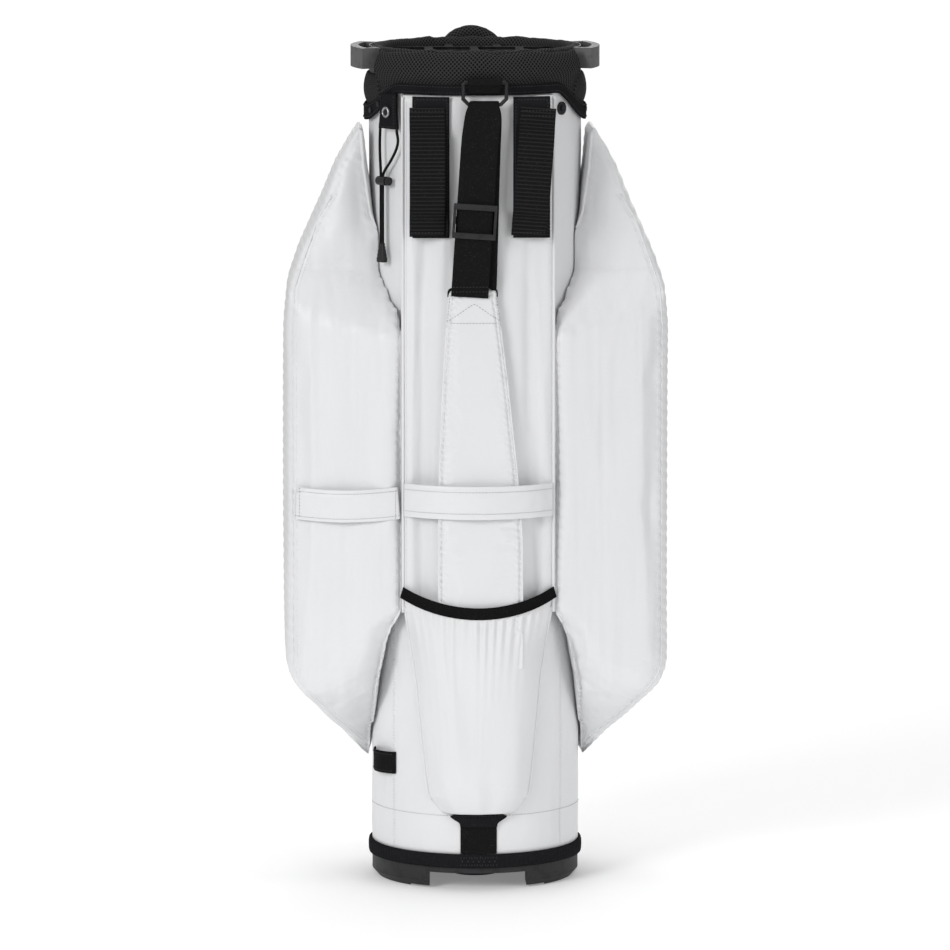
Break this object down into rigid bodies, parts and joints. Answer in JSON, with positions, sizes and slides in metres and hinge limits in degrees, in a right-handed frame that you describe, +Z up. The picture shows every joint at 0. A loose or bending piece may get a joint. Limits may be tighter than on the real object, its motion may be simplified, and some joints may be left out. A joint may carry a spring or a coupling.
{
  "type": "golf cart bag",
  "caption": "White golf bag for a cart, with a padded mesh collar, club dividers, shoulder strap on a ring, side pockets and a moulded base.",
  "frame": {"origin": "centre of the moulded base on the floor, on the bag's long axis", "axes": "+Z up along the bag; -Y is the rear, the side with the shoulder strap; +X is to the right seen from the rear"},
  "size_m": [0.407, 0.3384, 0.912],
  "materials": {
    "ripstop_white": "white coated ripstop with fine level ribs",
    "panel_white": "white coated ripstop over foam",
    "pad_white": "white coated ripstop, stuffed",
    "twill_black": "black twill tape",
    "webbing_black": "black ribbed webbing",
    "elastic_black": "black elastic binding",
    "mesh_black": "black open spacer mesh",
    "moulded_black": "fine-grained moulded plastic",
    "divider_fabric": "dark brushed divider cloth",
    "tube_board": "stiff sheet",
    "foam_grey": "closed-cell foam",
    "stay_metal": "drawn rod",
    "steel_dark": "dark plated steel",
    "zip_tape": "black coil zip",
    "zip_metal": "black lacquered zinc",
    "zip_pull": "moulded cloth pull",
    "cord_black": "round braided stretch cord",
    "cord_fittings": "moulded plastic"
  },
  "bodies": {
    "bag": {"base_tub": "moulded_black", "base_binding": "twill_black", "base_liner": "foam_grey", "body_tube": "tube_board", "body_cover": "ripstop_white", "lower_skirt": "ripstop_white", "rear_panel": "panel_white", "spine_stays": "stay_metal", "collar_frame": "moulded_black", "collar_pad": "mesh_black", "collar_binding": "twill_black", "collar_rivets": "steel_dark", "divider_grid": "moulded_black", "divider_walls": "divider_fabric", "front_grip": "mesh_black", "ring_loop": "webbing_black", "strap_lower_webbing": "webbing_black", "cart_loop_left": "webbing_black", "cart_loop_right": "webbing_black", "loop_backing_left": "twill_black", "loop_backing_right": "twill_black", "strap_keeper": "ripstop_white", "cart_strap_sleeve": "ripstop_white", "side_pocket_left": "ripstop_white", "side_pocket_right": "ripstop_white", "side_zip_left": "zip_tape", "side_zip_right": "zip_tape", "rear_pocket": "ripstop_white", "rear_pocket_elastic": "elastic_black", "rear_pocket_binding": "twill_black", "ball_pocket": "ripstop_white", "ball_zip": "zip_tape", "upper_pocket": "ripstop_white", "upper_zip": "zip_tape", "umbrella_tab": "twill_black", "umbrella_rivet": "steel_dark", "umbrella_cord_left": "cord_black", "umbrella_cord_right": "cord_black", "cord_end": "cord_fittings", "umbrella_loop": "webbing_black", "towel_rivet": "steel_dark"},
    "strap_ring_body": {"strap_ring": "steel_dark"},
    "shoulder_strap": {"strap_webbing": "webbing_black", "strap_pad": "pad_white"},
    "strap_slider_body": {"strap_slider": "moulded_black"},
    "cord_lock": {"cord_lock_body": "cord_fittings"},
    "cord_button": {"cord_lock_button": "cord_fittings"},
    "side_slider_left": {"side_zip_slider_left": "zip_metal"},
    "side_pull_left": {"side_zip_pull_left": "zip_pull"},
    "side_slider_right": {"side_zip_slider_right": "zip_metal"},
    "side_pull_right": {"side_zip_pull_right": "zip_pull"},
    "ball_slider": {"ball_zip_slider": "zip_metal"},
    "ball_pull": {"ball_zip_pull": "zip_pull"},
    "upper_slider": {"upper_zip_slider": "zip_metal"},
    "upper_pull": {"upper_zip_pull": "zip_pull"}
  },
  "joints": [
    {"name": "ring_swing", "type": "hinge", "parent": "bag", "child": "strap_ring_body", "pos_m": [0.0058, -0.1285, 0.869], "axis": [-1, 0, 0], "range_deg": [0, 18]},
    {"name": "strap_swing", "type": "hinge", "parent": "strap_ring_body", "child": "shoulder_strap", "pos_m": [0.0058, -0.1285, 0.8456], "axis": [-1, 0, 0], "range_deg": [-19, 0]},
    {"name": "slider_slide", "type": "slide", "parent": "shoulder_strap", "child": "strap_slider_body", "axis": [0.0663, 0, 0.9978], "range_m": [-0.055, 0.085]},
    {"name": "cord_lock_slide", "type": "slide", "parent": "bag", "child": "cord_lock", "axis": [0, 0, 1], "range_m": [-0.055, 0]},
    {"name": "cord_lock_press", "type": "slide", "parent": "cord_lock", "child": "cord_button", "axis": [-0.6293, 0.7771, 0], "range_m": [0, 0.002], "stiffness_N_per_m": 600, "springref_m": -0.001},
    {"name": "side_zip_left_slide", "type": "slide", "parent": "bag", "child": "side_slider_left", "axis": [0, 0, 1], "range_m": [-0.314, 0]},
    {"name": "side_pull_left_swing", "type": "hinge", "parent": "side_slider_left", "child": "side_pull_left", "pos_m": [-0.15154, 0.09291, 0.592], "axis": [0.9799, 0.1995, 0], "range_deg": [0, 150]},
    {"name": "side_zip_right_slide", "type": "slide", "parent": "bag", "child": "side_slider_right", "axis": [0, 0, 1], "range_m": [-0.314, 0]},
    {"name": "side_pull_right_swing", "type": "hinge", "parent": "side_slider_right", "child": "side_pull_right", "pos_m": [0.15154, 0.09291, 0.592], "axis": [0.9799, -0.1995, 0], "range_deg": [0, 150]},
    {"name": "ball_zip_slide", "type": "slide", "parent": "bag", "child": "ball_slider", "axis": [0, 0, 1], "range_m": [-0.184, 0]},
    {"name": "ball_pull_swing", "type": "hinge", "parent": "ball_slider", "child": "ball_pull", "pos_m": [0.048, 0.1977, 0.385], "axis": [1, 0, 0], "range_deg": [0, 150]},
    {"name": "upper_zip_slide", "type": "slide", "parent": "bag", "child": "upper_slider", "axis": [0, 0, 1], "range_m": [-0.184, 0]},
    {"name": "upper_pull_swing", "type": "hinge", "parent": "upper_slider", "child": "upper_pull", "pos_m": [0.048, 0.1757, 0.745], "axis": [1, 0, 0], "range_deg": [0, 150]}
  ],
  "couplings": [
    {"joint": "strap_swing", "follows": "ring_swing", "ratio": -1.038}
  ]
}
